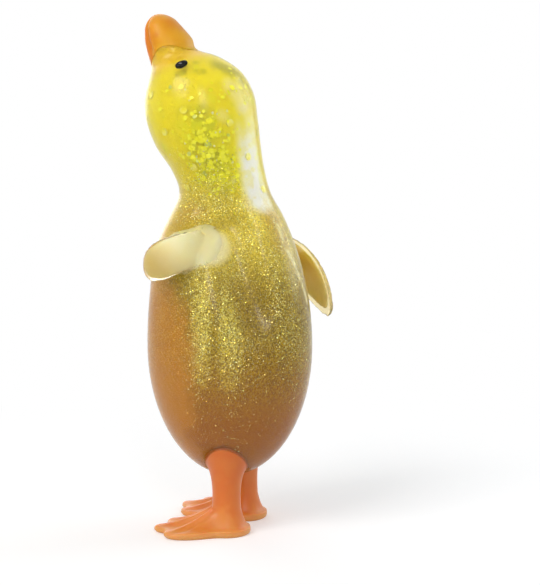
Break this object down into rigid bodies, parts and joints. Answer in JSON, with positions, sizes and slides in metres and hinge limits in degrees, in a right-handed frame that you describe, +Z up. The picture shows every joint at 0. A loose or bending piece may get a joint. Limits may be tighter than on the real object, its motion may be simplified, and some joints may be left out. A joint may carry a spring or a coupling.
{
  "type": "rubber duck",
  "caption": "See-through rubber squeeze duck filled with glitter gel, drawn tall by a squeeze, standing on flat webbed feet.",
  "frame": {"origin": "middle of the duck's outline seen from above, on the ground under its feet", "axes": "+Z up, the duck faces -Y, its left side is at +X"},
  "size_m": [0.0503, 0.056, 0.1618],
  "materials": {
    "clear_yellow_rubber": "glossy see-through soft rubber, pale yellow",
    "orange_rubber": "satin, slightly see-through",
    "black_bead": "gloss",
    "gold_glitter_gel": "soft gel with fine gold glitter, lemon yellow in the head",
    "yellow_flakes": "shiny flakes",
    "clear_plug_rubber": "see-through"
  },
  "bodies": {
    "root": {"body_skin": "clear_yellow_rubber", "beak": "orange_rubber", "left_eye": "black_bead", "right_eye": "black_bead", "left_foot": "orange_rubber", "right_foot": "orange_rubber", "glitter_gel": "gold_glitter_gel", "fill_plug": "clear_plug_rubber", "sequin_01": "yellow_flakes", "sequin_02": "yellow_flakes", "sequin_03": "yellow_flakes", "sequin_04": "yellow_flakes", "sequin_05": "yellow_flakes", "sequin_06": "yellow_flakes", "sequin_07": "yellow_flakes", "sequin_08": "yellow_flakes", "sequin_09": "yellow_flakes", "sequin_10": "yellow_flakes", "sequin_11": "yellow_flakes", "sequin_12": "yellow_flakes", "sequin_13": "yellow_flakes", "sequin_14": "yellow_flakes", "sequin_15": "yellow_flakes", "sequin_16": "yellow_flakes", "sequin_17": "yellow_flakes", "sequin_18": "yellow_flakes", "sequin_19": "yellow_flakes", "sequin_20": "yellow_flakes", "sequin_21": "yellow_flakes", "sequin_22": "yellow_flakes", "sequin_23": "yellow_flakes", "sequin_24": "yellow_flakes"}
  },
  "joints": []
}
